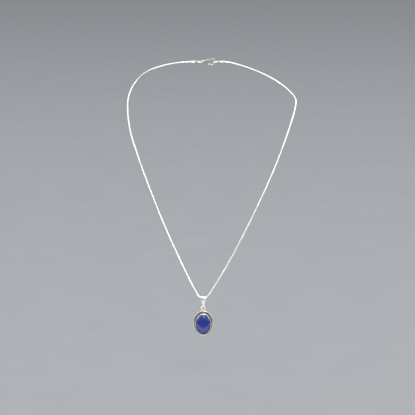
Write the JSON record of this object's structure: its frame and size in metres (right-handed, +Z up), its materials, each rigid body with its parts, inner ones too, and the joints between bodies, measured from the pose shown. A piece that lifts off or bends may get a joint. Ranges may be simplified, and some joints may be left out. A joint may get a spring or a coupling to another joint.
{
  "type": "pendant necklace",
  "caption": "Round snake-chain necklace with a lobster clasp and an oval blue cabochon pendant hung from a tapered folded bail.",
  "frame": {"origin": "nape of the neck, in the middle of the closed clasp, where the back of the chain rests while the necklace is worn", "axes": "+Z up; +X to the right for somebody who faces the pendant; +Y to the back, so the pendant faces -Y"},
  "size_m": [0.1244, 0.1139, 0.1862],
  "materials": {
    "chain_silver": "bright plated silver, burnished by the links rubbing",
    "polished_silver": "hand-polished sterling silver",
    "setting_silver": "satin to polished sterling silver",
    "darkened_silver": "oxidised silver, brushed",
    "spring_steel": "drawn wire",
    "blue_stone": "polished"
  },
  "bodies": {
    "chain": {"chain": "chain_silver", "end_cap_left": "polished_silver", "end_cap_right": "polished_silver"},
    "clasp_link": {"clasp_ring": "polished_silver"},
    "claw": {"clasp_body": "polished_silver", "clasp_pin": "polished_silver", "clasp_spring": "spring_steel"},
    "lever": {"clasp_lever": "polished_silver"},
    "catch": {"catch_ring": "polished_silver"},
    "bail": {"bail": "polished_silver"},
    "pendant": {"hanging_loop": "setting_silver", "outer_frame": "setting_silver", "back_plate": "setting_silver", "bezel": "setting_silver", "seat_ring": "darkened_silver", "stone": "blue_stone"}
  },
  "joints": [
    {"name": "clasp_link_swing", "type": "hinge", "parent": "chain", "child": "clasp_link", "pos_m": [-0.00805, 0, 0], "axis": [0, 1, 0], "range_deg": [-12, 12]},
    {"name": "claw_turn", "type": "hinge", "parent": "clasp_link", "child": "claw", "pos_m": [-0.00425, 0, 0], "axis": [0, 1, 0], "range_deg": [-12, 12]},
    {"name": "catch_ring_swing", "type": "hinge", "parent": "chain", "child": "catch", "pos_m": [0.00805, 0, 0], "axis": [0, 1, 0], "range_deg": [-12, 12]},
    {"name": "lever_press", "type": "hinge", "parent": "claw", "child": "lever", "pos_m": [-0.00125, 0, 0.0003], "axis": [0, 1, 0], "range_deg": [0, 20], "stiffness_Nm_per_rad": 0.002, "deforming": ["clasp_spring"]},
    {"name": "bail_swing", "type": "hinge", "parent": "chain", "child": "bail", "pos_m": [-0.003, -0.1065, -0.1546], "axis": [1, 0, 0], "range_deg": [-80, 80]},
    {"name": "pendant_sway", "type": "hinge", "parent": "bail", "child": "pendant", "pos_m": [-0.003, -0.1065, -0.16245], "axis": [0, 1, 0], "range_deg": [-60, 60]}
  ],
  "couplings": [
    {"joint": "claw_turn", "follows": "clasp_link_swing", "ratio": -1},
    {"joint": "catch_ring_swing", "follows": "clasp_link_swing", "ratio": -1}
  ]
}
